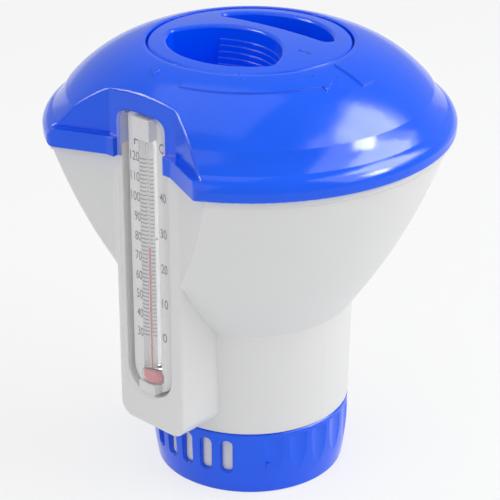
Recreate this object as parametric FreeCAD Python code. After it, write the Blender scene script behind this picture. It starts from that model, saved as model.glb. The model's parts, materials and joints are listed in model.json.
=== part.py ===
import FreeCAD, Part
import math
import os

# Floating chlorine-tablet dispenser with a built-in spirit thermometer, in millimetres.
# +Z is up, the origin is the middle of the base, and the thermometer faces -Y.

# ---- float: overall sizes ------------------------------------------------------------
brim_r = 63.3            # widest radius, at the lip of the dome
neck_draft = 0.9         # how much the neck widens up to the cone
neck_h = 35.0            # neck, from the regulator ring to the foot of the cone
cone_h = 57.0            # cone, from the neck to the underside of the brim
cone_bulge = 2.7         # how far the cone's side bows out of a straight line
wall = 2.0               # moulded wall of the float's two halves
inner_corner = 0.4       # least rounding inside a corner

# ---- dome ----------------------------------------------------------------------------
dome_h = 26.9            # underside of the brim to the rim round the lid
lip_h = 5.7              # upright lip of the brim
lip_straight = 3.1       # upright face of the lip, up from its lower edge
lip_wall = 1.3           # wall of the upright lip
lip_round = 0.9          # rounding of the lip's lower edge
brim_run = 3.2           # brim shoulder: how far it falls inwards
shoulder_rise = 7.0      # underside of the brim to the top of its shoulder
valley_run = 7.4         # lip to the foot of the dome proper, inwards
valley_rise = 12.7       # underside of the brim to the foot of the dome proper
valley_dip = 0.25        # how far the valley between brim and dome is hollowed
dome_bulge = 2.1         # how far the dome bows out of a straight line
rim_fall = 0.2           # the dome's rim below the lid's surround
rim_round = 1.2          # rounding at the edge round the lid
arch_round = 1.0         # rounded edge of the thermometer niche
mark_h = 0.5             # how far the raised marks stand out
spigot_h = 3.0           # the shell's rim that stands inside the dome's lip

# ---- thermometer niche and housing ---------------------------------------------------
niche_y = 45.8           # flat front of the niche, from the axis
housing_back = 0.8       # front of the housing behind the niche's flat
notch_side = 1.0         # gap in the lip on each side of the window
housing_w = 27.4         # width of the housing, and of the niche's middle flat
niche_flare = 23.8       # degrees by which the niche's side flats turn outwards
niche_round = 4.0        # upright corners where the lip turns into the niche
housing_foot = 3.4       # bottom of the housing above the neck's lower edge
housing_corner = 5.0     # lower corners of the housing, seen from the front
housing_edge = 1.3       # upright front edges of the housing

# ---- thermometer ---------------------------------------------------------------------
window_w = 18.6
window_foot = 15.0       # bottom of the window above the neck's lower edge
window_drop = 11.6       # top of the window below the rim round the lid
window_proud = 2.4       # outside face of the window in front of the housing
window_wall = 0.9
window_top_corner = 3.5
window_foot_corner = 8.0
window_edge = 0.6        # rounded front edges of the window
glass_gap = 0.2          # between the bulb and what is in front of it and behind it
glass_flat = 0.7         # depth of the oval glass over its width
stem_r = 3.4             # half the glass's width
bulb_r = 4.3
bulb_h = 7.0
bulb_lift = 2.7          # bottom of the bulb above the bottom of the window
glass_drop = 6.0         # round top of the glass below the top of the window
glass_wall = 0.5
column_r = 0.35
scale_low = 30.0         # degrees Fahrenheit at the bottom of the scale
scale_high = 120.0
scale_lift = 19.3        # lowest degree above the bottom of the window
scale_drop = 15.0        # highest degree below the top of the window
reading = 77.0           # degrees Fahrenheit shown at rest
meniscus_h = 1.0         # top piece of the spirit column

# ---- chamber, regulator --------------------------------------------------------------
ring_h = 22.0            # regulator ring
ring_wall = 1.7
ring_foot_in = 1.5       # how far the ring tapers in to its foot
ring_floor = 2.2
ring_edge = 0.5          # rounded lower edge and chamfered upper edge of the ring
foot_recess = 0.6        # ring hollow under the regulator, between its rim and its pad
foot_rim = 3.0
foot_pad_r = 7.0         # round pad under the middle, level with the rim
tube_r = 28.9            # outside of the tablet chamber
tube_wall = 2.0
tube_foot_r = 30.1       # thicker foot of the chamber, inside the regulator
slot_w = 3.4
slot_h = 11.0
slot_z = 8.0
slot_corner = 1.5
slot_bevel = 0.4
slot_count = 5
slot_pitch = 12.7        # degrees
slot_group = 274.3       # degrees: middle of the regulator's front group of slots
regulator_travel = 90.0  # degrees from shut to fully open
flute_count = 6
flute_pitch = 15.0       # degrees
flute_depth = 0.5
flute_w = 7.2
flute_margin = 1.8       # plain band over and under the flutes
pointer_turn = 49.3      # degrees: raised pointer, from the middle of the slots
pointer_z = 11.0
pointer_w = 1.6
groove_z = 4.6           # snap groove round the chamber's foot
groove_h = 1.6
groove_depth = 0.9
stop_h = 1.8             # stop pip near the top of the regulator
stop_w = 3.0
stop_depth = 0.8
stop_turn = 45.0         # degrees: from the middle of the slots to the stop

# ---- lid -----------------------------------------------------------------------------
lid_overlap = 2.2        # lid's disc beyond the mouth of the chamber
lid_crown = 1.7          # middle of the lid above its edge
lid_t = 2.3              # lid's disc at its edge
lid_edge = 1.6
lid_turn = 4.4           # degrees: how the lid's bar lies to the X axis
plug_h = 14.3            # lid's plug, down from the disc
plug_wall = 2.1
seal_collar_h = 6.2      # thicker top of the plug that carries the seal
cup_wall = 1.8
cup_corner = 2.5         # upright corners of both cups
cup_edge = 1.1           # rounded mouth of both cups
finger_chord = 10.6      # straight wall of the finger cup, from the axis
thumb_r = 22.9           # round wall of the thumb cup
thumb_x = -2.5
thumb_reach = 4.3        # how far the thumb cup's wall passes the axis
step_count = 5           # grip steps down the thumb cup
step_drop = 3.0          # first step below the lid's edge
step_start = -13.0       # the steps' left end, along the lid's bar
step_pitch = 1.9
step_in = 0.35
seal_r = 0.95            # section of the O-ring
seal_drop = 3.4          # middle of the O-ring below the disc
lug_count = 3
lug_angle = 90.0         # degrees: first lug, from the lid's bar
lug_span = 24.0          # degrees
lug_h = 2.5
lug_depth = 1.5
lug_lift = 2.0           # bottom of the lugs above the bottom of the plug
tab_span = 60.0          # degrees
tab_h = 2.5
lid_travel = 50.0        # degrees from free to locked
stop_gap = 1.0           # degrees between a lug and its stops
stop_span = 4.0          # degrees
dash_x = 19.2            # mark pressed into the lid's bar
dash_y = -1.6
dash_length = 4.7
dash_w = 0.8

# ---- raised marks on the dome: distances from the rim round the lid --------------------
arrow_in = 4.7
arrow_w = 4.2
arrow_tail = 283.0       # degrees
arrow_neck = 344.0
arrow_tip = 353.0
arrow_barb = 0.9
bar_in = 2.1
bar_out = 12.5
bar_w = 5.6
bar_angle = 4.5
lock_in = 4.4
lock_w = 3.1
lock_base = 267.0
lock_tip = 263.0

# ---- clearances ----------------------------------------------------------------------
fit = 0.1                # turning, sliding and glued fits
play = 0.3               # between parts that pass each other

# ---- places worked out from the sizes ------------------------------------------------
ring_bore_r = tube_foot_r + fit
neck_r = ring_bore_r + ring_wall
ring_foot_r = neck_r - ring_foot_in
neck_z = ring_h + play
cone_z = neck_z + neck_h
brim_z = cone_z + cone_h
rim_z = brim_z + dome_h
lip_z = brim_z + lip_h
lid_edge_z = rim_z - fit
lid_under_z = lid_edge_z - lid_t
ledge_z = lid_under_z - fit
neck_top_r = neck_r + neck_draft
cone_top_r = brim_r - lip_wall - fit
bore_r = tube_r + fit
sleeve_r = bore_r + wall
chamber_top_z = lid_under_z - plug_h - 2 * play - wall
sleeve_z = chamber_top_z - 2 * wall
collar_r = bore_r - play
plug_r = collar_r - lug_depth
cup_r = plug_r - plug_wall
lid_r = bore_r + lid_overlap
recess_r = lid_r + play
thumb_y = thumb_reach - thumb_r
window_z = neck_z + window_foot
window_h = rim_z - window_drop - window_z
housing_y = niche_y - housing_back
housing_top_z = lip_z - wall - fit
window_front = housing_y + window_proud
tube_y = window_front - window_wall - glass_gap - glass_flat * bulb_r
pocket_y = tube_y - glass_flat * bulb_r - glass_gap
tube_z = window_z + bulb_lift
glass_h = window_h - bulb_lift - glass_drop
degree_h = (window_h - scale_lift - scale_drop) / (scale_high - scale_low)
column_top_z = window_z + scale_lift + (reading - scale_low) * degree_h
plug_z = lid_under_z - plug_h
lug_z = plug_z + lug_lift
tab_z = lug_z + lug_h + play
foot_z = ring_floor + play
beyond = 2 * brim_r      # long enough for any cutter

V = FreeCAD.Vector
UP = V(0, 0, 1)


# ---- helpers -------------------------------------------------------------------------
def polar(radius, degrees, z=0.0):
    turn = math.radians(degrees)
    return V(radius * math.cos(turn), radius * math.sin(turn), z)


def outline(start, *steps):
    """Closed face in the XZ plane. A step is a point, or (middle, end) of an arc."""
    here = V(start[0], 0, start[1])
    first = here
    edges = []
    for step in steps:
        if isinstance(step[0], tuple):
            middle, end = [V(x, 0, z) for x, z in step]
            edges.append(Part.Arc(here, middle, end).toShape())
        else:
            end = V(step[0], 0, step[1])
            edges.append(Part.LineSegment(here, end).toShape())
        here = end
    edges.append(Part.LineSegment(here, first).toShape())
    return Part.Face(Part.Wire(edges))


def spin(face):
    return face.revolve(V(0, 0, 0), UP, 360)


def disc(radius, low, high, x=0.0, y=0.0):
    return Part.makeCylinder(radius, high - low, V(x, y, low))


def pipe(inner, outer, low, high):
    return disc(outer, low, high).cut(disc(inner, low, high))


def block(x0, x1, y0, y1, z0, z1):
    return Part.makeBox(x1 - x0, y1 - y0, z1 - z0, V(x0, y0, z0))


def sector(inner, outer, low, high, start, end):
    """Part of a ring between two angles in degrees."""
    pie = Part.makeCylinder(outer, high - low, V(0, 0, low), UP, end - start)
    pie.rotate(V(0, 0, 0), UP, start)
    return pie.cut(disc(inner, low, high))


def prism(points, low, high):
    corners = [V(x, y, low) for x, y in points]
    face = Part.Face(Part.makePolygon(corners + corners[:1]))
    return face.extrude(V(0, 0, high - low))


def upright_edges(shape, radius_from_axis=None):
    """Vertical straight edges, all of them or those at one distance from the axis."""
    found = []
    for edge in shape.Edges:
        ends = [vertex.Point for vertex in edge.Vertexes]
        if len(ends) != 2 or abs(ends[0].x - ends[1].x) + abs(ends[0].y - ends[1].y) > 1e-6:
            continue
        distance = math.hypot(ends[0].x, ends[0].y)
        if radius_from_axis is None or abs(distance - radius_from_axis) < 1e-3:
            found.append(edge)
    return found


def bulged(start, end, bulge):
    """Middle of an arc from start to end that bows outwards from the axis by bulge."""
    run = end[0] - start[0]
    rise = end[1] - start[1]
    span = math.hypot(run, rise)
    return ((start[0] + end[0]) / 2 + bulge * rise / span,
            (start[1] + end[1]) / 2 - bulge * run / span)


def shifted(start, end, inset):
    """Both points moved towards the axis, square to the line between them."""
    run = end[0] - start[0]
    rise = end[1] - start[1]
    span = math.hypot(run, rise)
    return [(x - inset * rise / span, z + inset * run / span) for x, z in (start, end)]


# ---- the niche and the thermometer's pocket ------------------------------------------
def niche(deeper, low, high):
    """The open space in front of the niche's three flats, moved back by deeper."""
    flare = math.radians(niche_flare)
    corner_x = housing_w / 2 + deeper * math.tan(flare / 2)
    corner_y = niche_y - deeper
    side_y = corner_y + (beyond - corner_x) * math.tan(flare)
    half = [(corner_x, -corner_y), (beyond, -side_y), (beyond, -2 * beyond)]
    mirrored = [(-x, y) for x, y in reversed(half)]
    return prism(half + mirrored, low, high)


def plate(width, low, high, back, front, foot_round, top_round):
    """Upright rounded rectangle facing -Y, between two distances from the axis."""
    slab = block(-width / 2, width / 2, -front, -back, low, high)
    for z, radius in ((low, foot_round), (high, top_round)):
        if radius > 0:
            edges = [e for e in slab.Edges
                     if abs(e.BoundBox.ZMin - z) < 1e-6 and abs(e.BoundBox.ZMax - z) < 1e-6
                     and e.BoundBox.YLength > 1e-3 and e.BoundBox.XLength < 1e-3]
            slab = slab.makeFillet(radius, edges)
    return slab


def window_block(grow, back, front):
    return plate(window_w + 2 * grow, window_z - grow, window_z + window_h + grow, back, front,
                 window_foot_corner + grow, window_top_corner + grow)


def pocket():
    return window_block(fit, pocket_y, 2 * niche_y)


def pocket_backing():
    return window_block(fit + wall, pocket_y - wall, niche_y)


def housing(inset):
    """Upright box that carries the window, drawn in by inset on every side."""
    box = plate(housing_w - 2 * inset, neck_z + housing_foot + inset, housing_top_z, 0,
                housing_y - inset, housing_corner - inset, 0)
    front = [e for e in upright_edges(box) if e.Vertexes[0].Point.y < inset - housing_y + 1e-3]
    return box.makeFillet(max(housing_edge - inset, inner_corner), front)


# ---- float ---------------------------------------------------------------------------
def shell_solid(inset, low):
    """Neck and cone as one solid of revolution, drawn in by inset."""
    foot = (neck_top_r - inset, cone_z)
    top = (cone_top_r - inset, brim_z)
    return spin(outline((0, low), (neck_r - inset, low), foot,
                        (bulged(foot, top, cone_bulge), top), (0, brim_z)))


def spigot():
    """The shell's rim, which stands inside the dome's lip."""
    rim = pipe(cone_top_r - wall, cone_top_r, brim_z - wall, brim_z + spigot_h)
    front = housing_back + fit
    rim = rim.fuse(disc(cone_top_r, brim_z - wall, brim_z + spigot_h)
                   .common(niche(front + wall, brim_z - wall, brim_z + spigot_h)))
    return rim.cut(niche(front, brim_z - wall, brim_z + spigot_h))


def float_shell():
    outside = shell_solid(0, neck_z).cut(niche(housing_back, neck_z, brim_z))
    outside = outside.fuse([housing(0), spigot()])
    hollow = shell_solid(wall, neck_z + wall).cut(niche(housing_back + wall, neck_z, brim_z))
    hollow = hollow.fuse(housing(wall).common(disc(beyond, neck_z, brim_z)))
    inside_spigot = disc(cone_top_r - wall, brim_z, rim_z)
    hollow = hollow.fuse(inside_spigot.cut(niche(housing_back + fit + wall, brim_z, rim_z)))
    hollow = hollow.cut(pocket_backing())
    return outside.cut([hollow, pocket(), disc(bore_r, 0, rim_z)])


def dome_corners():
    """Brim shoulder, foot of the dome proper and rim round the lid, in half section."""
    return ((brim_r - brim_run, brim_z + shoulder_rise),
            (brim_r - valley_run, brim_z + valley_rise),
            (recess_r + rim_round, rim_z - rim_fall))


def dome_face():
    """Half section of the dome's outside: lip, brim shoulder, shallow valley, dome, rim."""
    shoulder, valley, rim = dome_corners()
    return outline(
        (0, brim_z),
        (brim_r - lip_round, brim_z),
        ((brim_r - 0.3 * lip_round, brim_z + 0.3 * lip_round), (brim_r, brim_z + lip_round)),
        (brim_r, brim_z + lip_straight),
        ((brim_r - 0.3 * brim_run, lip_z - 0.2 * brim_run), shoulder),
        (bulged(shoulder, valley, -valley_dip), valley),
        (bulged(valley, rim, dome_bulge), rim),
        (0, rim_z - rim_fall))


def dome_outside():
    """The dome's outside with its niche; the lip follows the niche a wall further out."""
    lip = disc(brim_r, brim_z, lip_z).cut(niche(-wall, brim_z, lip_z))
    lip = lip.makeFillet(niche_round, upright_edges(lip, brim_r))
    upper = disc(brim_r, lip_z, rim_z).cut(niche(0, lip_z, rim_z))
    return spin(dome_face()).common(lip.fuse(upper))


def dome_hollow():
    """The space under the dome's skin and inside its lip."""
    shoulder, valley, rim = dome_corners()
    under_brim = shifted(shoulder, valley, wall)
    under_dome = shifted(valley, rim, wall)
    bend_z = lip_z - wall
    hollow = spin(outline(
        (0, brim_z), (brim_r - lip_wall, brim_z), (brim_r - lip_wall, bend_z),
        under_brim[0], under_dome[0],
        (bulged(under_dome[0], under_dome[1], dome_bulge), under_dome[1]),
        (0, under_dome[1][1])))
    hollow = hollow.cut([niche(housing_back - fit, brim_z, bend_z), niche(wall, bend_z, rim_z)])
    return hollow.cut([disc(sleeve_r, sleeve_z, rim_z), pocket_backing(),
                       disc(recess_r + wall, ledge_z - wall, rim_z)])


def bayonet_tabs():
    """Inward tabs over the lid's lugs, each with its two stops."""
    tabs = []
    for i in range(lug_count):
        lug = lid_turn + lug_angle + i * 360 / lug_count
        near = lug - lug_span / 2 - stop_gap
        far = near - tab_span
        stop = lug - lid_travel - lug_span / 2 - stop_gap
        free = lug + lug_span / 2 + stop_gap
        root = bore_r + wall / 2
        tabs.append(sector(plug_r + play, root, tab_z, tab_z + tab_h, far, near))
        tabs.append(sector(plug_r + play, root, lug_z, tab_z + tab_h, far, stop))
        tabs.append(sector(plug_r + play, root, lug_z, tab_z + tab_h, free, free + stop_span))
    return tabs


def pointer_prism(inner, outer, base, tip, low, high):
    """Triangle on the dome, from a radial base at one angle to a tip at another."""
    corners = [polar(inner, base), polar(outer, base), polar((inner + outer) / 2, tip)]
    return prism([(corner.x, corner.y) for corner in corners], low, high)


def raised_marks():
    """Curved arrow to the open position, its bar, and the small lock triangle."""
    low = brim_z + valley_rise
    high = rim_z + 1
    near = recess_r + arrow_in
    far = near + arrow_w
    shaft = sector(near, far, low, high, arrow_tail, arrow_neck)
    head = pointer_prism(near - arrow_barb, far + 2 * arrow_barb, arrow_neck, arrow_tip, low, high)
    lock = recess_r + lock_in
    triangle = pointer_prism(lock, lock + lock_w, lock_base, lock_tip, low, high)
    bar = block(recess_r + bar_in, recess_r + bar_out, -bar_w / 2, bar_w / 2, low, high)
    bar.rotate(V(0, 0, 0), UP, bar_angle)
    raised = spin(dome_face())
    raised.translate(V(0, 0, mark_h))
    return raised.common(shaft.fuse([head, triangle, bar]))


def arch_edges(shape):
    """Edges where the dome's curved top meets the flats of the niche."""
    found = []
    for edge in shape.Edges:
        middle = edge.valueAt((edge.FirstParameter + edge.LastParameter) / 2)
        front = -middle.y > niche_y - 0.01 and middle.z > lip_z + 0.5
        slanted = edge.BoundBox.ZLength > 0.3 and edge.BoundBox.XLength > 0.3
        if front and slanted:
            found.append(edge)
    return found


def float_dome():
    body = dome_outside()
    body = body.makeFillet(arch_round, arch_edges(body))
    body = body.fuse(raised_marks())
    body = body.cut(dome_hollow())
    body = body.cut([disc(bore_r, brim_z, rim_z), disc(recess_r, ledge_z, rim_z + 1)])
    notch_x = window_w / 2 + notch_side
    notch = block(-notch_x, notch_x, -beyond, -niche_y, brim_z, lip_z)
    room_x = housing_w / 2 + fit
    room = block(-room_x, room_x, -housing_y - fit, wall - pocket_y + fit, brim_z, lip_z - wall)
    body = body.cut([notch, room, pocket()])
    return body.fuse(bayonet_tabs())


# ---- chamber and regulator -----------------------------------------------------------
def slot_cutter(angle, width, height, inner, outer, corner):
    cutter = block(inner, outer, -width / 2, width / 2,
                   slot_z + (slot_h - height) / 2, slot_z + (slot_h + height) / 2)
    radial = [e for e in cutter.Edges if e.BoundBox.XLength > 1e-3]
    cutter = cutter.makeFillet(corner, radial)
    cutter.rotate(V(0, 0, 0), UP, angle)
    return cutter


def slot_angles(group):
    middle = (slot_count - 1) / 2
    return [group + half + (i - middle) * slot_pitch
            for half in (0, 180) for i in range(slot_count)]


def chamber_tube():
    """Tablet chamber: open tube with the fixed slots, snap groove and regulator stop."""
    tube = pipe(tube_r - tube_wall, tube_r, foot_z, chamber_top_z)
    tube = tube.fuse(pipe(tube_r - tube_wall, tube_foot_r, foot_z, neck_z - fit))
    tube = tube.cut(pipe(tube_foot_r - groove_depth, ring_bore_r, groove_z, groove_z + groove_h))
    slots = [slot_cutter(a, slot_w, slot_h, tube_r - 2 * tube_wall, neck_r, slot_corner)
             for a in slot_angles(slot_group + regulator_travel)]
    pips = [sector(tube_foot_r - fit, tube_foot_r + stop_depth - play, ring_h - stop_h, ring_h,
                   a, a + math.degrees(stop_w / tube_foot_r)) for a in stop_starts()]
    return tube.cut(slots).fuse(pips)


def stop_starts():
    return [slot_group + half + stop_turn for half in (0, 180)]


def stop_tracks():
    """Grooves in the ring's top edge in which the chamber's stop pips run."""
    spare = math.degrees(play / tube_foot_r)
    pip = math.degrees(stop_w / tube_foot_r)
    return [sector(tube_r, tube_foot_r + stop_depth, ring_h - stop_h - play, neck_z,
                   a - regulator_travel - spare, a + pip + spare) for a in stop_starts()]


def ring_face():
    """Half section of the regulator: floor, foot rim, drafted wall and snap bead."""
    bead_low = groove_z + play
    bead_high = groove_z + groove_h - play
    bead_r = ring_bore_r - groove_depth + play
    return outline(
        (0, 0), (foot_pad_r, 0), (foot_pad_r + foot_recess, foot_recess),
        (ring_foot_r - foot_rim, foot_recess),
        (ring_foot_r - foot_rim + foot_recess, 0), (ring_foot_r - ring_edge, 0),
        ((ring_foot_r - 0.3 * ring_edge, 0.3 * ring_edge), (ring_foot_r, ring_edge)),
        ((neck_r - ring_foot_in / 3, ring_h / 3), (neck_r, ring_h - ring_edge)),
        (neck_r - ring_edge, ring_h), (ring_bore_r, ring_h),
        (ring_bore_r, bead_high), (bead_r, bead_high), (bead_r, bead_low),
        (ring_bore_r, bead_low), (ring_bore_r, ring_floor), (0, ring_floor))


def flutes():
    """Shallow upright grip flutes between the two groups of slots."""
    radius = flute_w ** 2 / (8 * flute_depth) + flute_depth / 2
    middle = (flute_count - 1) / 2
    cutters = []
    for side in (slot_group + 90, slot_group + 270):
        for i in range(flute_count):
            at = polar(neck_r + radius - flute_depth, side + (i - middle) * flute_pitch)
            cutters.append(disc(radius, flute_margin, ring_h - flute_margin, at.x, at.y))
    return cutters


def pointer():
    """Raised drop that shows how far the regulator is open."""
    root = ring_bore_r + play
    reach = neck_r + mark_h
    drop = Part.makeCylinder(pointer_w / 2, reach - root, V(root, 0, pointer_z), V(1, 0, 0))
    tail = block(root, reach, -pointer_w / 2, pointer_w / 2, pointer_z - pointer_w, pointer_z)
    mark = drop.fuse(tail)
    mark.rotate(V(0, 0, 0), UP, slot_group + pointer_turn)
    return mark


def regulator_ring():
    ring = spin(ring_face())
    reach = neck_r + ring_wall
    cutters = [slot_cutter(a, slot_w, slot_h, tube_r, reach, slot_corner)
               for a in slot_angles(slot_group)]
    cutters += [slot_cutter(a, slot_w + 2 * slot_bevel, slot_h + 2 * slot_bevel,
                            neck_r - 2 * slot_bevel, reach, slot_corner + slot_bevel)
                for a in slot_angles(slot_group)]
    return ring.cut(cutters + flutes() + stop_tracks()).fuse(pointer())


# ---- lid -----------------------------------------------------------------------------
def finger_cup(grow, low, high):
    cup = disc(cup_r + grow, low, high)
    cup = cup.cut(block(-beyond, beyond, -beyond, finger_chord - grow, low, high))
    return cup.makeFillet(cup_corner + grow, upright_edges(cup))


def thumb_cup(grow, low, high):
    cup = disc(cup_r + grow, low, high)
    cup = cup.common(disc(thumb_r + grow, low, high, thumb_x, thumb_y))
    corners = [e for e in upright_edges(cup, cup_r + grow) if e.Length > (high - low) / 2]
    return cup.makeFillet(cup_corner + grow, corners)


def stepped_thumb_cup():
    """Thumb cup whose round wall comes in by a small step at each grip line."""
    cup_floor = plug_z + cup_wall
    first = lid_edge_z - step_drop
    cup = thumb_cup(0, first, rim_z + lid_crown + 1)
    plain = block(-beyond, step_start, -beyond, beyond, cup_floor, first)
    cup = cup.fuse(thumb_cup(0, cup_floor, first).common(plain))
    for i in range(step_count):
        high = first - i * step_pitch
        low = cup_floor if i == step_count - 1 else high - step_pitch
        cup = cup.fuse(thumb_cup(0, low, high).common(
            disc(thumb_r - (i + 1) * step_in, low, high, thumb_x, thumb_y)))
    return cup


def mouth_edges(body):
    """Edges where the two cups open on the lid's crowned top."""
    found = []
    for edge in body.Edges:
        middle = edge.valueAt((edge.FirstParameter + edge.LastParameter) / 2)
        if middle.z > lid_edge_z and math.hypot(middle.x, middle.y) < cup_r + 1e-3:
            found.append(edge)
    return found


def lid_solid():
    edge = (lid_r - lid_edge, lid_edge_z)
    crown = (0, lid_edge_z + lid_crown)
    disc_face = outline((0, lid_under_z), (lid_r, lid_under_z), (lid_r, lid_edge_z - lid_edge),
                        ((lid_r - 0.3 * lid_edge, lid_edge_z - 0.3 * lid_edge), edge),
                        ((lid_r / 2, lid_edge_z + 0.75 * lid_crown), crown))
    collar_z = lid_under_z - seal_collar_h
    solid = spin(disc_face).fuse([disc(plug_r, plug_z, lid_under_z),
                                  disc(collar_r, collar_z, lid_under_z)])
    seal_z = lid_under_z - seal_drop
    groove = pipe(bore_r - fit - 2 * seal_r, bore_r, seal_z - seal_r - fit, seal_z + seal_r + fit)
    return solid.cut(groove)


def lid():
    under = disc(cup_r, plug_z, lid_under_z)
    under = under.cut([thumb_cup(cup_wall, plug_z, lid_under_z),
                       finger_cup(cup_wall, plug_z, lid_under_z)])
    body = lid_solid().cut([under, stepped_thumb_cup(),
                            finger_cup(0, plug_z + cup_wall, rim_z + lid_crown + 1)])
    body = body.makeFillet(cup_edge, mouth_edges(body))
    dash = block(dash_x, dash_x + dash_length, dash_y, dash_y + dash_w, lid_edge_z + mark_h,
                 rim_z + lid_crown + 1)
    body = body.cut(dash)
    lugs = [sector(plug_r - 1, collar_r, lug_z, lug_z + lug_h, a - lug_span / 2, a + lug_span / 2)
            for a in (lug_angle + i * 360 / lug_count for i in range(lug_count))]
    body = body.fuse(lugs)
    body.rotate(V(0, 0, 0), UP, lid_turn)
    return body


def lid_seal():
    return Part.makeTorus(bore_r - fit / 2 - seal_r, seal_r - fit / 2,
                          V(0, 0, lid_under_z - seal_drop))


# ---- thermometer ---------------------------------------------------------------------
def thermo_window():
    """Clear case, open at the back, glued into its pocket."""
    case = window_block(0, pocket_y + fit, window_front)
    edges = [e for e in case.Edges if e.BoundBox.YMax < -window_front + 1e-3]
    case = case.makeFillet(window_edge, edges)
    return case.cut(window_block(-window_wall, pocket_y, window_front - window_wall))


def ellipsoid(wide, deep, tall, middle_z):
    """Solid with these half sizes, about the middle of the glass."""
    size = FreeCAD.Matrix()
    size.scale(wide, deep, tall)
    size.move(V(0, -tube_y, middle_z))
    return Part.makeSphere(1).transformGeometry(size)


def oval_rod(wide, low, high):
    """Upright oval rod with a round top."""
    ring = Part.Ellipse(V(0, -tube_y, low), wide, glass_flat * wide).toShape()
    rod = Part.Face(Part.Wire(ring)).extrude(V(0, 0, high - wide - low))
    return rod.fuse(ellipsoid(wide, glass_flat * wide, wide, high - wide))


def bulb(inset):
    return ellipsoid(bulb_r - inset, glass_flat * bulb_r - inset, bulb_h / 2 - inset,
                     tube_z + bulb_h / 2)


def glass_outline(grow):
    """The stem and its bulb, grown on every side."""
    stem = oval_rod(stem_r + grow, tube_z + bulb_h / 2, tube_z + glass_h + grow)
    return bulb(-grow).fuse(stem)


def scale_plate():
    """Printed plate at the back of the case; the glass lies in its channel."""
    return window_block(-window_wall - fit, pocket_y + fit, tube_y).cut(glass_outline(fit))


def glass_tube():
    """Oval glass stem with its bulb; the spirit's space is left empty."""
    bore = disc(column_r + fit / 2, tube_z + bulb_h / 2, tube_z + glass_h - stem_r, 0, -tube_y)
    return glass_outline(0).cut([bulb(glass_wall - fit / 2), bore])


def spirit_bulb():
    return bulb(glass_wall)


def spirit_column():
    foot = tube_z + bulb_h - glass_wall + fit / 2
    return disc(column_r, foot, column_top_z - meniscus_h, 0, -tube_y)


def spirit_top():
    return disc(column_r, column_top_z - meniscus_h, column_top_z, 0, -tube_y)


def tube_pad(low, high):
    """Soft pad between the glass and the end of the case, in front of the plate."""
    room = window_block(-window_wall - fit, tube_y + fit, window_front - window_wall - fit)
    pad = room.common(block(-stem_r, stem_r, -window_front, -tube_y, low, high))
    return pad.cut(glass_outline(fit))


def tube_pad_top():
    return tube_pad(tube_z + glass_h - stem_r / 2, window_z + window_h)


def tube_pad_foot():
    return tube_pad(window_z, tube_z + bulb_h / 4)


PIECES = (float_shell, float_dome, chamber_tube, regulator_ring, lid, lid_seal,
          thermo_window, scale_plate, glass_tube, spirit_bulb, spirit_column, spirit_top,
          tube_pad_top, tube_pad_foot)

os.makedirs("parts", exist_ok=True)
for piece in PIECES:
    piece().removeSplitter().exportStep("parts/" + piece.__name__ + ".step")
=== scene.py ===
import functools
import json
import math

import bmesh
import bpy
from bpy.props import FloatProperty, FloatVectorProperty, IntProperty, PointerProperty
from mathutils import Matrix, Vector


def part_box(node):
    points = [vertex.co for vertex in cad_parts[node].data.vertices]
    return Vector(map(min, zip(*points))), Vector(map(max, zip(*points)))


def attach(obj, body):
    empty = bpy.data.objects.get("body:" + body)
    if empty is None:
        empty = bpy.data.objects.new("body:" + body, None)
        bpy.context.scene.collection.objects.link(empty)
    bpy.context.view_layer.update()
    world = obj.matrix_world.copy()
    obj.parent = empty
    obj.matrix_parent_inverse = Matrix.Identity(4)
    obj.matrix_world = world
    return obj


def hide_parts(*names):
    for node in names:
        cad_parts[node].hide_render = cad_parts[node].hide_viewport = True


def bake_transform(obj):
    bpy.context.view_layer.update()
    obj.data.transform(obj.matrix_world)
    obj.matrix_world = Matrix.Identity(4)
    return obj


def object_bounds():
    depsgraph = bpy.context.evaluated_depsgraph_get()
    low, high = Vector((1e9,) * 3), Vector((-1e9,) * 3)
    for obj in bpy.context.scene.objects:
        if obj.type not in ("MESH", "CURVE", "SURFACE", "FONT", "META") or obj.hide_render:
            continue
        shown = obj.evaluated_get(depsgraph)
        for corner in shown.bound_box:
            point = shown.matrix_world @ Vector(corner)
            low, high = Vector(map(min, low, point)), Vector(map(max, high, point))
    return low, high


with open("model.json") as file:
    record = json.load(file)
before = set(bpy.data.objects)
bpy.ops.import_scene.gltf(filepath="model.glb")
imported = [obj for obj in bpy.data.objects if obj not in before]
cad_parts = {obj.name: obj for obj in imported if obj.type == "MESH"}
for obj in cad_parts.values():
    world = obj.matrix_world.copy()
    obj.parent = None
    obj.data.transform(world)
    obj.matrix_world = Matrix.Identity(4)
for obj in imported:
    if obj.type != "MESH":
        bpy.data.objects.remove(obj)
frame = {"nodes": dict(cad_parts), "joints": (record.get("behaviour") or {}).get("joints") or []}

bl_info = {
    "name": "Pool Dispenser Looks",
    "version": (1, 0, 0),
    "blender": (4, 2, 0),
    "location": "3D View > Sidebar > Dispenser",
    "description": "Finishes the floating chlorine dispenser, its thermometer and its stage",
    "category": "Object",
}

MM = 0.001
CAD_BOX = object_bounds()
NODES = frame["nodes"]

# ---- printing on the scale plate; sideways, 0 is the middle of the glass ---------------
INK_FILM = 0.03 * MM          # how far the printing stands off the plate
TICK_SHORT = 3.7 * MM
TICK_LONG = 4.0 * MM          # at every tenth degree
TICK_START_F = 0.6 * MM
TICK_START_C = 1.3 * MM
TICK_STEPS = 10               # straight runs that follow the channel's curve
FIGURES_END_F = -4.1 * MM
FIGURES_START_C = 4.3 * MM
LETTER_END_F = -4.3 * MM
LETTER_START_C = 4.5 * MM
LETTERS_UP = 5.2 * MM         # the letters F and C above the highest degree
LONE_FIGURE = 1.4             # width of a figure that stands alone, in figure pitches
STROKE_GAIN = 0.004           # thickens the figures' strokes, as a share of their size
FREEZING_F = 32
F_PER_C = 1.8
TENS = 10
CELSIUS_TENS = range(0, 60, TENS)

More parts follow.
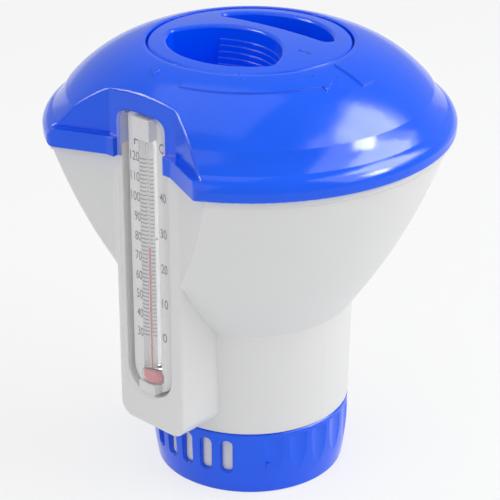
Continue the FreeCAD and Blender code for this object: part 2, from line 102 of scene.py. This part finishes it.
# ---- spirit, stage and camera ----------------------------------------------------------
THREAD_RINGS = 12             # lengths into which the spirit column is cut
THREAD_SIDES = 24
FLOOR_HALF = 6.0
FLOOR_WHITENESS = 0.72        # share of plain white in the floor as the eye sees it
SENSOR_WIDTH = 36
FOCAL_LENGTH = 136.4
# name, azimuth from +X and elevation in degrees, distance, width and height in metres
WINDOWS = (("window_near", 18, 40, 0.9, 0.42, 0.62), ("window_far", 52, 40, 0.9, 0.42, 0.62))
FILL = ("fill", 268, 30, 1.2, 0.9, 0.9)
TOP = ("top", 200, 75, 1.1, 0.8, 0.8)
TOP_SHARE = 0.8               # power of the top light over that of the fill light
# name, azimuth and elevation in degrees, side in metres, multiple of the Softbox setting
SOFTBOXES = (("softbox", 45, 42, 0.46, 1), ("softbox_core", 27, 29, 0.20, 3),
             ("edge_strip", 222, 33, 0.34, 2))
SOFTBOX_DISTANCE = 0.9

# ---- shader nodes ----------------------------------------------------------------------
MIX_FIRST = 6                 # a Mix node's colour inputs, and its colour output
MIX_SECOND = 7
MIX_COLOUR = 2
BEVEL_SAMPLES = 4
WEAR_BEGINS = 0.995           # likeness of the rounded and the plain normal
WEAR_FULL = 0.90


# ---- settings ------------------------------------------------------------------------
class MouldingSettings(bpy.types.PropertyGroup):
    """Colours and surface of the moulded plastic parts."""

    blue: FloatVectorProperty(
        name="Blue", description="Colour of the dome, lid and foot ring",
        subtype="COLOR", size=3, min=0, max=1, default=(0.0, 0.108, 0.98))
    white: FloatVectorProperty(
        name="White", description="Colour of the shell and the chamber",
        subtype="COLOR", size=3, min=0, max=1, default=(0.80, 0.80, 0.80))
    blue_gloss: FloatProperty(
        name="Blue roughness", description="Roughness of the polished blue plastic",
        subtype="FACTOR", min=0, max=1, default=0.13)
    white_gloss: FloatProperty(
        name="White roughness", description="Roughness of the satin white plastic",
        subtype="FACTOR", min=0, max=1, default=0.38)
    soft_edge: FloatProperty(
        name="Moulded edge", description="Radius that moulded edges seem to have",
        subtype="DISTANCE", unit="LENGTH", min=0, default=0.45 * MM)


class ScaleSettings(bpy.types.PropertyGroup):
    """The printed thermometer scale."""

    lowest: IntProperty(name="Lowest", description="Lowest Fahrenheit figure", default=30)
    highest: IntProperty(name="Highest", description="Highest Fahrenheit figure", default=120)
    reading: FloatProperty(
        name="Reading", description="Fahrenheit degrees that the spirit shows at rest", default=77)
    step: IntProperty(name="Tick step", description="Degrees between two ticks", default=2, min=1)
    tick_height: FloatProperty(
        name="Tick thickness", description="Thickness of one printed tick",
        subtype="DISTANCE", unit="LENGTH", min=0, default=0.28 * MM)
    figure_height: FloatProperty(
        name="Figure height", description="Height of the printed figures",
        subtype="DISTANCE", unit="LENGTH", min=0, default=3.0 * MM)
    figure_pitch: FloatProperty(
        name="Figure pitch", description="Width that one figure takes up",
        subtype="DISTANCE", unit="LENGTH", min=0, default=1.25 * MM)
    channel_half: FloatProperty(
        name="Channel", description="Half the width of the plate's channel behind the glass",
        subtype="DISTANCE", unit="LENGTH", min=0, default=3.5 * MM)
    channel_depth: FloatProperty(
        name="Channel depth", description="Depth of that channel in its middle",
        subtype="DISTANCE", unit="LENGTH", min=0, default=2.45 * MM)
    ink: FloatVectorProperty(
        name="Ink", description="Colour of the printing",
        subtype="COLOR", size=3, min=0, max=1, default=(0.045, 0.045, 0.05))


class StageSettings(bpy.types.PropertyGroup):
    """Floor, lights and camera."""

    floor: FloatVectorProperty(
        name="Floor", description="Colour of the floor",
        subtype="COLOR", size=3, min=0, max=1, default=(0.86, 0.87, 0.88))
    window_power: FloatProperty(
        name="Window light", description="Power of each pane of the large soft light, in watts",
        min=0, default=2.1)
    softbox_glow: FloatProperty(
        name="Softbox", description="Radiance of the softbox that only reflections show",
        min=0, default=7.0)
    fill_power: FloatProperty(
        name="Fill light", description="Power of the soft light on the camera's side, in watts",
        min=0, default=2.0)
    daylight: FloatProperty(
        name="Daylight", description="Strength of the even light from all round",
        min=0, default=0.52)
    camera_distance: FloatProperty(
        name="Camera distance", description="Distance from the camera to the dispenser's middle",
        subtype="DISTANCE", unit="LENGTH", min=0, default=0.6)
    camera_azimuth: FloatProperty(
        name="Camera azimuth", description="How far the camera stands round from the front",
        subtype="ANGLE", unit="ROTATION", default=math.radians(43.0))
    camera_elevation: FloatProperty(
        name="Camera elevation", description="Height of the camera above the level, as an angle",
        subtype="ANGLE", unit="ROTATION", default=math.radians(25.03))
    camera_target: FloatProperty(
        name="Camera target", description="Height of the point the camera looks at",
        subtype="DISTANCE", unit="LENGTH", default=71 * MM)


# ---- shader maths --------------------------------------------------------------------
class Value:
    """A shader socket that can be used in Python arithmetic."""

    def __init__(self, finish, socket):
        self.finish = finish
        self.socket = socket

    def maths(self, operation, *operands):
        sockets = {index: operand for index, operand in enumerate(operands)}
        return self.finish.add("ShaderNodeMath", {"operation": operation}, sockets)

    def __add__(self, other):
        return self.maths("ADD", self, other)

    def __radd__(self, other):
        return self.maths("ADD", other, self)

    def __sub__(self, other):
        return self.maths("SUBTRACT", self, other)

    def __rsub__(self, other):
        return self.maths("SUBTRACT", other, self)

    def __mul__(self, other):
        return self.maths("MULTIPLY", self, other)

    def __rmul__(self, other):
        return self.maths("MULTIPLY", other, self)

    def larger(self, other):
        return self.maths("MAXIMUM", self, other)


class Finish:
    """The nodes of one material, or of the world where an owner is given."""

    def __init__(self, name, owner=None):
        self.owner = owner or bpy.data.materials.new(name)
        self.owner.use_nodes = True
        self.tree = self.owner.node_tree
        self.tree.nodes.clear()

    @functools.cached_property
    def place(self):
        """The point on the surface, in millimetres."""
        place = self.add("ShaderNodeTexCoord", {}, {}, "Object")
        return self.add("ShaderNodeVectorMath", {"operation": "SCALE"},
                        {0: place, "Scale": 1 / MM})

    def add(self, kind, settings, sockets, output=0):
        """A node with its settings, then its sockets' values or links; gives one output."""
        node = self.tree.nodes.new(kind)
        for name, setting in settings.items():
            if name == "stops":
                self.set_stops(node.color_ramp, setting)
            else:
                setattr(node, name, setting)
        for name, value in sockets.items():
            if isinstance(value, Value):
                self.tree.links.new(value.socket, node.inputs[name])
            else:
                node.inputs[name].default_value = value
        return Value(self, node.outputs[output])

    def set_stops(self, ramp, stops):
        while len(ramp.elements) < len(stops):
            ramp.elements.new(1)
        for element, (position, colour) in zip(ramp.elements, stops):
            element.position = position
            element.color = colour

    def noise(self, per_mm, detail=2.0, stretch=None, distortion=0.0):
        """Soft noise from 0 to 1 with so many waves to the millimetre."""
        place = self.place
        if stretch:
            place = self.add("ShaderNodeVectorMath", {"operation": "MULTIPLY"},
                             {0: place, 1: stretch})
        return self.add("ShaderNodeTexNoise", {},
                        {"Vector": place, "Scale": per_mm, "Detail": detail,
                         "Distortion": distortion})

    def graded(self, value, low, high, to_low=0.0, to_high=1.0):
        """value between low and high, spread over to_low to to_high."""
        return self.add("ShaderNodeMapRange", {"clamp": True},
                        {"Value": value, "From Min": low, "From Max": high,
                         "To Min": to_low, "To Max": to_high})

    def blended(self, first, second, share):
        """Colour that goes from first to second as share goes from 0 to 1."""
        return self.add("ShaderNodeMix", {"data_type": "RGBA"},
                        {0: share, MIX_FIRST: rgba(first), MIX_SECOND: rgba(second)}, MIX_COLOUR)

    def edge_wear(self, radius):
        """Wear, 1 on outer edges and 0 on open faces, and the rounded normal."""
        rounded = self.add("ShaderNodeBevel", {"samples": BEVEL_SAMPLES}, {"Radius": radius})
        plain = self.add("ShaderNodeNewGeometry", {}, {}, "Normal")
        likeness = self.add("ShaderNodeVectorMath", {"operation": "DOT_PRODUCT"},
                            {0: rounded, 1: plain}, "Value")
        return self.graded(likeness, WEAR_BEGINS, WEAR_FULL), rounded

    def bump(self, height, depth, normal=None):
        sockets = {"Height": height, "Strength": 1.0, "Distance": depth}
        if normal is not None:
            sockets["Normal"] = normal
        return self.add("ShaderNodeBump", {}, sockets)

    def principled(self, sockets):
        return self.add("ShaderNodeBsdfPrincipled", {}, sockets)

    def letting_light_in(self, body, tint):
        """The same shader, clear to the light that falls on what is behind it."""
        passing = self.add("ShaderNodeBsdfTransparent", {}, {"Color": rgba(tint)})
        shadow = self.add("ShaderNodeLightPath", {}, {}, "Is Shadow Ray")
        diffuse = self.add("ShaderNodeLightPath", {}, {}, "Is Diffuse Ray")
        return self.add("ShaderNodeMixShader", {},
                        {0: shadow.larger(diffuse), 1: body, 2: passing})

    def finished(self, shader, kind="ShaderNodeOutputMaterial"):
        output = self.tree.nodes.new(kind)
        self.tree.links.new(shader.socket, output.inputs["Surface"])
        return self.owner


def rgba(colour):
    """Three numbers with alpha 1, or a link as it is."""
    return colour if isinstance(colour, Value) else (*colour[:3], 1.0)


def shaded(colour, factor):
    """The same colour, lighter or darker."""
    return tuple(min(1.0, part * factor) for part in colour)


# ---- finishes ------------------------------------------------------------------------
def scratches(finish, per_mm=0.5):
    """Thin random hairlines, 0 to 1."""
    length = finish.noise(per_mm, 1.0, (1.0, 1.0, 9.0), 0.6)
    across = finish.noise(per_mm, 1.0, (9.0, 1.3, 1.0), 0.6)
    lines = finish.graded(length, 0.70, 0.74).larger(finish.graded(across, 0.70, 0.74))
    return lines * finish.graded(finish.noise(0.05), 0.45, 0.65)


def moulded_blue(settings):
    """Polished blue plastic with flow marks, faint hairlines and a paler worn edge."""
    finish = Finish("moulded_blue")
    blue = tuple(settings.blue)
    wear, rounded = finish.edge_wear(settings.soft_edge)
    flow = finish.noise(0.035, 3.0, (1.0, 1.0, 0.4), 1.2)
    grain = finish.noise(0.9, 2.0)
    colour = finish.blended(shaded(blue, 0.90), shaded(blue, 1.07), flow)
    colour = finish.blended(colour, (0.05, 0.16, 0.95), wear * grain * 0.35)
    lines = scratches(finish)
    handled = finish.graded(finish.noise(0.08, 4.0), 0.42, 0.70)
    roughness = settings.blue_gloss + handled * 0.05 + lines * 0.12 + wear * 0.06
    relief = finish.noise(0.25, 2.0) * 0.75 + grain * 0.15 - lines * 0.35
    return finish.finished(finish.principled({
        "Base Color": colour, "Roughness": roughness, "IOR": 1.46,
        "Normal": finish.bump(relief, 0.035 * MM, rounded)}))


def moulded_white(settings):
    """Satin white plastic with a fine spark-eroded grain and slight yellowing."""
    finish = Finish("moulded_white")
    white = tuple(settings.white)
    wear, rounded = finish.edge_wear(settings.soft_edge)
    flow = finish.noise(0.025, 3.0, (1.0, 1.0, 0.35), 1.0)
    grain = finish.noise(2.2, 3.0)
    warm = (white[0], white[1] * 0.995, white[2] * 0.975)
    colour = finish.blended(shaded(white, 0.97), warm, flow)
    colour = finish.blended(colour, shaded(white, 0.90), wear * grain * 0.4)
    lines = scratches(finish, 0.35)
    handled = finish.graded(finish.noise(0.06, 4.0), 0.40, 0.72)
    roughness = settings.white_gloss + grain * 0.06 - handled * 0.07 + lines * 0.10
    relief = grain * 0.5 + finish.noise(0.2, 2.0) * 0.9 - lines * 0.4
    return finish.finished(finish.principled({
        "Base Color": colour, "Roughness": roughness, "IOR": 1.50,
        "Normal": finish.bump(relief, 0.03 * MM, rounded)}))


def seal_rubber():
    """Dark silicone with a dusty bloom."""
    finish = Finish("seal_rubber")
    bloom = finish.graded(finish.noise(0.6, 4.0), 0.40, 0.75)
    colour = finish.blended((0.020, 0.020, 0.022), (0.060, 0.058, 0.055), bloom)
    grain = finish.noise(5.0, 2.0)
    return finish.finished(finish.principled({
        "Base Color": colour, "Roughness": 0.55 + bloom * 0.2,
        "Normal": finish.bump(grain, 0.02 * MM)}))


def clear(name, tint, roughness, ior, marks):
    """See-through glass or plastic that lets the light reach what is behind it."""
    finish = Finish(name)
    haze = finish.graded(finish.noise(0.25, 4.0), 0.45, 0.75)
    lines = scratches(finish, 0.6)
    body = finish.principled({
        "Base Color": finish.blended(tint, shaded(tint, 0.97), haze),
        "Roughness": roughness + haze * marks + lines * marks * 2,
        "IOR": ior, "Transmission Weight": 1.0,
        "Normal": finish.bump(finish.noise(0.12, 2.0) + lines * 0.2, 0.04 * MM)})
    return finish.finished(finish.letting_light_in(body, shaded(tint, 0.97)))


def clear_case():
    """Thin clear plastic: all but unseen face on, pale and glossy where it turns away."""
    finish = Finish("clear_case")
    haze = finish.graded(finish.noise(0.25, 4.0), 0.45, 0.75)
    lines = scratches(finish, 0.6)
    away = finish.add("ShaderNodeLayerWeight", {}, {"Blend": 0.32}, "Facing")
    body = finish.principled({
        "Base Color": finish.blended((0.84, 0.83, 0.84), (0.90, 0.89, 0.90), haze),
        "Roughness": 0.05 + haze * 0.04 + lines * 0.1, "IOR": 1.5,
        "Alpha": 0.06 + away * 0.30 + haze * 0.02 + lines * 0.05,
        "Normal": finish.bump(finish.noise(0.12, 2.0) + lines * 0.2, 0.04 * MM)})
    return finish.finished(finish.letting_light_in(body, (0.99, 0.99, 0.99)))


def printed_plate():
    """Smooth white plate, a little uneven in tone."""
    finish = Finish("printed_plate")
    tone = finish.noise(0.15, 4.0)
    colour = finish.blended((0.80, 0.79, 0.80), (0.88, 0.87, 0.87), tone)
    fibre = finish.noise(3.0, 3.0, (1.0, 1.0, 0.3))
    return finish.finished(finish.principled({
        "Base Color": colour, "Roughness": 0.45 + tone * 0.1,
        "Normal": finish.bump(fibre, 0.01 * MM)}))


def printing_ink(settings):
    """Screen-printed ink, thinner in places."""
    finish = Finish("printing_ink")
    ink = tuple(settings.ink)
    thin = finish.graded(finish.noise(2.5, 3.0), 0.45, 0.75)
    colour = finish.blended(ink, (0.16, 0.16, 0.17), thin)
    return finish.finished(finish.principled({
        "Base Color": colour, "Roughness": 0.5 + thin * 0.2,
        "Normal": finish.bump(thin, 0.004 * MM)}))


def red_spirit():
    """Red-dyed spirit, a little uneven in colour."""
    finish = Finish("red_spirit")
    depth = finish.noise(0.5, 2.0)
    colour = finish.blended((0.70, 0.10, 0.13), (0.80, 0.15, 0.18), depth)
    return finish.finished(finish.principled({
        "Base Color": colour, "Roughness": 0.12 + depth * 0.05, "IOR": 1.36,
        "Normal": finish.bump(depth, 0.01 * MM)}))


def white_foam():
    """Closed-cell foam."""
    finish = Finish("white_foam")
    cells = finish.add("ShaderNodeTexVoronoi", {"feature": "F1"},
                       {"Vector": finish.place, "Scale": 2.2}, "Distance")
    colour = finish.blended((0.66, 0.66, 0.67), (0.84, 0.84, 0.84), cells)
    return finish.finished(finish.principled({
        "Base Color": colour, "Roughness": 0.85 - cells * 0.1,
        "Normal": finish.bump(cells, 0.08 * MM)}))


def pale_floor(settings):
    """Pale floor that fades to white for the eye and keeps the shadow."""
    finish = Finish("pale_floor")
    tone = finish.noise(0.01, 3.0)
    colour = finish.blended(shaded(settings.floor, 0.98), tuple(settings.floor), tone)
    matte = finish.principled({"Base Color": colour, "Roughness": 0.6 + tone * 0.1})
    white = finish.add("ShaderNodeEmission", {}, {"Color": (1, 1, 1, 1), "Strength": 1.0})
    seen = finish.add("ShaderNodeLightPath", {}, {}, "Is Camera Ray")
    mirrored = finish.add("ShaderNodeLightPath", {}, {}, "Is Glossy Ray")
    through = finish.add("ShaderNodeLightPath", {}, {}, "Is Transmission Ray")
    share = seen.larger(mirrored).larger(through) * FLOOR_WHITENESS
    return finish.finished(finish.add("ShaderNodeMixShader", {}, {0: share, 1: matte, 2: white}))


# ---- mesh helpers --------------------------------------------------------------------
def dress(names, material):
    """Gives CAD nodes one material."""
    for name in names:
        slots = NODES[name].data.materials
        slots.clear()
        slots.append(material)


def new_piece(name, mesh, material, body):
    piece = bpy.data.objects.new(name, mesh)
    bpy.context.scene.collection.objects.link(piece)
    mesh.materials.clear()
    mesh.materials.append(material)
    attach(piece, body)
    return piece


def text_mesh(words, wide, tall):
    """Flat figures facing -Y of this size, with their lower left corner at the origin."""
    curve = bpy.data.curves.new("figure", "FONT")
    curve.body = words
    curve.size = 1.0
    curve.offset = STROKE_GAIN
    writer = bpy.data.objects.new("figure", curve)
    bpy.context.scene.collection.objects.link(writer)
    bpy.context.view_layer.update()
    mesh = bpy.data.meshes.new_from_object(writer.evaluated_get(
        bpy.context.evaluated_depsgraph_get()))
    bpy.data.objects.remove(writer)
    corners = [vertex.co for vertex in mesh.vertices]
    left = min(corner.x for corner in corners)
    low = min(corner.y for corner in corners)
    right = max(corner.x for corner in corners)
    high = max(corner.y for corner in corners)
    mesh.transform(Matrix.Translation((-left, -low, 0)))
    mesh.transform(Matrix.Diagonal((wide / (right - left), tall / (high - low), 1, 1)))
    mesh.transform(Matrix.Rotation(math.pi / 2, 4, "X"))
    return mesh


# ---- scale layout --------------------------------------------------------------------
class ScalePlan:
    """Where the printed degrees lie on the plate."""

    def __init__(self, settings):
        joint = next(j for j in frame["joints"] if j["name"] == "spirit_level")
        fall, climb = joint["range_m"]
        self.settings = settings
        self.top_of_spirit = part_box("spirit_top")[1][2]
        self.degree = (climb - fall) / (settings.highest - settings.lowest)
        self.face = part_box("scale_plate")[0][1]

    def height(self, fahrenheit):
        return self.top_of_spirit + (fahrenheit - self.settings.reading) * self.degree

    def celsius(self, degrees):
        return self.height(degrees * F_PER_C + FREEZING_F)

    def surface(self, x):
        """Front of the plate at x, down in the oval channel behind the glass."""
        share = min(1.0, abs(x) / self.settings.channel_half)
        return self.face + self.settings.channel_depth * math.sqrt(1 - share * share)


# ---- operators -----------------------------------------------------------------------
class DISPENSER_OT_blue_mouldings(bpy.types.Operator):
    """Finishes the dome, the lid and the foot ring"""

    bl_idname = "dispenser.blue_mouldings"
    bl_label = "Blue mouldings"

    def execute(self, context):
        dress(("float_dome", "lid", "regulator_ring"),
              moulded_blue(context.scene.dispenser_mouldings))
        return {"FINISHED"}


class DISPENSER_OT_white_mouldings(bpy.types.Operator):
    """Finishes the shell and the tablet chamber"""

    bl_idname = "dispenser.white_mouldings"
    bl_label = "White mouldings"

    def execute(self, context):
        dress(("float_shell", "chamber_tube"), moulded_white(context.scene.dispenser_mouldings))
        return {"FINISHED"}


class DISPENSER_OT_seal(bpy.types.Operator):
    """Finishes the lid's O-ring"""

    bl_idname = "dispenser.seal"
    bl_label = "Lid seal"

    def execute(self, context):
        dress(("lid_seal",), seal_rubber())
        return {"FINISHED"}


class DISPENSER_OT_clear_parts(bpy.types.Operator):
    """Finishes the thermometer's clear case and glass"""

    bl_idname = "dispenser.clear_parts"
    bl_label = "Clear case and glass"

    def execute(self, context):
        dress(("thermo_window",), clear_case())
        dress(("glass_tube",), clear("stem_glass", (0.99, 0.995, 0.995), 0.0, 1.47, 0.01))
        return {"FINISHED"}


class DISPENSER_OT_spirit(bpy.types.Operator):
    """Fills the glass with red spirit; a ringed thread stands in for the spirit column"""

    bl_idname = "dispenser.spirit"
    bl_label = "Red spirit"

    def execute(self, context):
        spirit = red_spirit()
        dress(("spirit_bulb", "spirit_top"), spirit)
        low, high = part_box("spirit_column")
        middle = (low + high) / 2
        radius = (high.x - low.x) / 2
        shape = bmesh.new()
        bmesh.ops.create_cone(shape, cap_ends=True, segments=THREAD_SIDES, radius1=radius,
                              radius2=radius, depth=high.z - low.z)
        for step in range(1, THREAD_RINGS):
            height = (step / THREAD_RINGS - 0.5) * (high.z - low.z)
            bmesh.ops.bisect_plane(shape, geom=shape.verts[:] + shape.edges[:] + shape.faces[:],
                                   plane_co=(0, 0, height), plane_no=(0, 0, 1))
        bmesh.ops.translate(shape, vec=middle, verts=shape.verts)
        mesh = bpy.data.meshes.new("spirit_thread")
        shape.to_mesh(mesh)
        shape.free()
        mesh.shade_smooth()
        mesh.materials.append(spirit)
        thread = bpy.data.objects.new("spirit_thread", mesh)
        bpy.context.scene.collection.objects.link(thread)
        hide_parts("spirit_column")
        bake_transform(thread)
        return {"FINISHED"}


class DISPENSER_OT_scale(bpy.types.Operator):
    """Prints the two scales on the plate"""

    bl_idname = "dispenser.scale"
    bl_label = "Printed scale"

    def execute(self, context):
        settings = context.scene.dispenser_scale
        plan = ScalePlan(settings)
        dress(("scale_plate",), printed_plate())
        ink = printing_ink(settings)
        self.print_ticks(settings, plan, ink)
        self.print_figures(settings, plan, ink)
        return {"FINISHED"}

    def print_ticks(self, settings, plan, ink):
        shape = bmesh.new()
        for degrees in range(settings.lowest, settings.highest + 1, settings.step):
            self.print_tick(shape, plan, plan.height(degrees), -1, degrees % TENS == 0)
        lowest_c = (settings.lowest - FREEZING_F) / F_PER_C
        highest_c = (settings.highest - FREEZING_F) / F_PER_C
        first_c = math.ceil(lowest_c / settings.step) * settings.step
        for degrees in range(first_c, math.floor(highest_c) + 1, settings.step):
            self.print_tick(shape, plan, plan.celsius(degrees), 1, degrees % TENS == 0)
        mesh = bpy.data.meshes.new("scale_ticks")
        shape.to_mesh(mesh)
        shape.free()
        new_piece("scale_ticks", mesh, ink, "float")

    def print_tick(self, shape, plan, z, side, long):
        """One ribbon of ink from beside the spirit out to the plate's flat."""
        half = plan.settings.tick_height / 2
        reach = TICK_LONG if long else TICK_SHORT
        inner = TICK_START_F if side < 0 else TICK_START_C
        before = None
        for i in range(TICK_STEPS + 1):
            x = side * (inner + (reach - inner) * i / TICK_STEPS)
            y = plan.surface(x) - INK_FILM
            pair = [shape.verts.new((x, y, z + end)) for end in (-half, half)]
            if before:
                shape.faces.new((before[0], pair[0], pair[1], before[1]))
            before = pair

    def print_figures(self, settings, plan, ink):
        for degrees in range(settings.lowest, settings.highest + 1, TENS):
            self.print_figure("f%d" % degrees, str(degrees), FIGURES_END_F,
                              plan.height(degrees), plan, ink, True)
        top = plan.height(settings.highest)
        for degrees in CELSIUS_TENS:
            z = plan.celsius(degrees)
            if z < top:
                self.print_figure("c%d" % degrees, str(degrees), FIGURES_START_C, z,
                                  plan, ink, False)
        letters = top + LETTERS_UP
        self.print_figure("letter_f", "F", LETTER_END_F, letters, plan, ink, True)
        self.print_figure("letter_c", "C", LETTER_START_C, letters, plan, ink, False)

    def print_figure(self, name, words, x, z, plan, ink, ends_at_x):
        tall = plan.settings.figure_height
        places = len(words) if len(words) > 1 else LONE_FIGURE
        wide = plan.settings.figure_pitch * places
        mesh = text_mesh(words, wide, tall)
        start = x - wide if ends_at_x else x
        mesh.transform(Matrix.Translation((start, plan.face - INK_FILM, z - tall / 2)))
        new_piece("figure_" + name, mesh, ink, "float")


class DISPENSER_OT_pads(bpy.types.Operator):
    """Finishes the soft pads that hold the glass"""

    bl_idname = "dispenser.pads"
    bl_label = "Foam pads"

    def execute(self, context):
        dress(("tube_pad_top", "tube_pad_foot"), white_foam())
        return {"FINISHED"}


class DISPENSER_OT_stage(bpy.types.Operator):
    """Lays the floor and sets the lights and the camera"""

    bl_idname = "dispenser.stage"
    bl_label = "Stage"

    def execute(self, context):
        settings = context.scene.dispenser_stage
        self.lay_floor(settings)
        self.set_daylight(context.scene, settings)
        self.hang_lights(settings)
        self.set_camera(context.scene, settings)
        context.scene.view_settings.view_transform = "Standard"
        return {"FINISHED"}

    def lay_floor(self, settings):
        shape = bmesh.new()
        bmesh.ops.create_grid(shape, x_segments=8, y_segments=8, size=FLOOR_HALF)
        mesh = bpy.data.meshes.new("floor")
        shape.to_mesh(mesh)
        shape.free()
        mesh.materials.append(pale_floor(settings))
        floor = bpy.data.objects.new("floor", mesh)
        floor.location.z = CAD_BOX[0][2]
        bpy.context.scene.collection.objects.link(floor)

    def set_daylight(self, scene, settings):
        """Even light from all round; the eye sees plain white behind the dispenser."""
        sky = Finish("daylight", bpy.data.worlds.new("daylight"))
        white = (1, 1, 1, 1)
        even = sky.add("ShaderNodeBackground", {}, {"Color": white, "Strength": settings.daylight})
        bright = sky.add("ShaderNodeBackground", {}, {"Color": white, "Strength": 1.0})
        seen = sky.add("ShaderNodeLightPath", {}, {}, "Is Camera Ray")
        through = sky.add("ShaderNodeLightPath", {}, {}, "Is Transmission Ray")
        mixed = sky.add("ShaderNodeMixShader", {}, {0: seen.larger(through), 1: even, 2: bright})
        scene.world = sky.finished(mixed, "ShaderNodeOutputWorld")

    def hang_lights(self, settings):
        """Two window panes, fill and top light, and softboxes that only reflections show."""
        target = Vector((0, 0, settings.camera_target))
        for window in WINDOWS:
            self.hang(*window, settings.window_power, target)
        self.hang(*FILL, settings.fill_power, target)
        self.hang(*TOP, settings.fill_power * TOP_SHARE, target)
        for name, azimuth, elevation, side, share in SOFTBOXES:
            power = settings.softbox_glow * share * math.pi * side * side
            box = self.hang(name, azimuth, elevation, SOFTBOX_DISTANCE, side, side, power, target)
            box.visible_diffuse = False

    def hang(self, name, azimuth, elevation, distance, wide, tall, power, target):
        """A soft rectangular light that faces the dispenser; azimuth runs from +X."""
        lamp = bpy.data.lights.new(name, "AREA")
        lamp.shape = "RECTANGLE"
        lamp.size = wide
        lamp.size_y = tall
        lamp.energy = power
        holder = bpy.data.objects.new(name, lamp)
        around = math.radians(azimuth)
        up = math.radians(elevation)
        offset = Vector((math.cos(around) * math.cos(up), math.sin(around) * math.cos(up),
                         math.sin(up)))
        holder.location = target + offset * distance
        holder.rotation_euler = offset.to_track_quat("Z", "Y").to_euler()
        bpy.context.scene.collection.objects.link(holder)
        return holder

    def set_camera(self, scene, settings):
        lens = bpy.data.cameras.new("camera")
        lens.sensor_width = SENSOR_WIDTH
        lens.lens = FOCAL_LENGTH
        camera = bpy.data.objects.new("camera", lens)
        around = settings.camera_azimuth
        up = settings.camera_elevation
        away = Vector((math.sin(around) * math.cos(up), -math.cos(around) * math.cos(up),
                       math.sin(up)))
        camera.location = Vector((0, 0, settings.camera_target)) + away * settings.camera_distance
        camera.rotation_euler = away.to_track_quat("Z", "Y").to_euler()
        scene.collection.objects.link(camera)
        scene.camera = camera


class DISPENSER_PT_panel(bpy.types.Panel):
    """Lists the steps and their settings"""

    bl_label = "Dispenser"
    bl_idname = "DISPENSER_PT_panel"
    bl_space_type = "VIEW_3D"
    bl_region_type = "UI"
    bl_category = "Dispenser"

    def draw(self, context):
        layout = self.layout
        for group in (context.scene.dispenser_mouldings, context.scene.dispenser_scale,
                      context.scene.dispenser_stage):
            box = layout.box()
            for name in group.__annotations__:
                box.prop(group, name)
        for step in STEPS:
            layout.operator(step.bl_idname)


SETTINGS = {
    "dispenser_mouldings": MouldingSettings,
    "dispenser_scale": ScaleSettings,
    "dispenser_stage": StageSettings,
}
STEPS = (
    DISPENSER_OT_blue_mouldings,
    DISPENSER_OT_white_mouldings,
    DISPENSER_OT_seal,
    DISPENSER_OT_clear_parts,
    DISPENSER_OT_spirit,
    DISPENSER_OT_scale,
    DISPENSER_OT_pads,
    DISPENSER_OT_stage,
)


def register():
    for kind in (*SETTINGS.values(), *STEPS, DISPENSER_PT_panel):
        bpy.utils.register_class(kind)
    for name, kind in SETTINGS.items():
        setattr(bpy.types.Scene, name, PointerProperty(type=kind))


def unregister():
    for name in SETTINGS:
        delattr(bpy.types.Scene, name)
    for kind in reversed((*SETTINGS.values(), *STEPS, DISPENSER_PT_panel)):
        bpy.utils.unregister_class(kind)


def main():
    register()
    for step in STEPS:
        group, name = step.bl_idname.split(".")
        getattr(getattr(bpy.ops, group), name)()


if __name__ == "__main__":
    main()
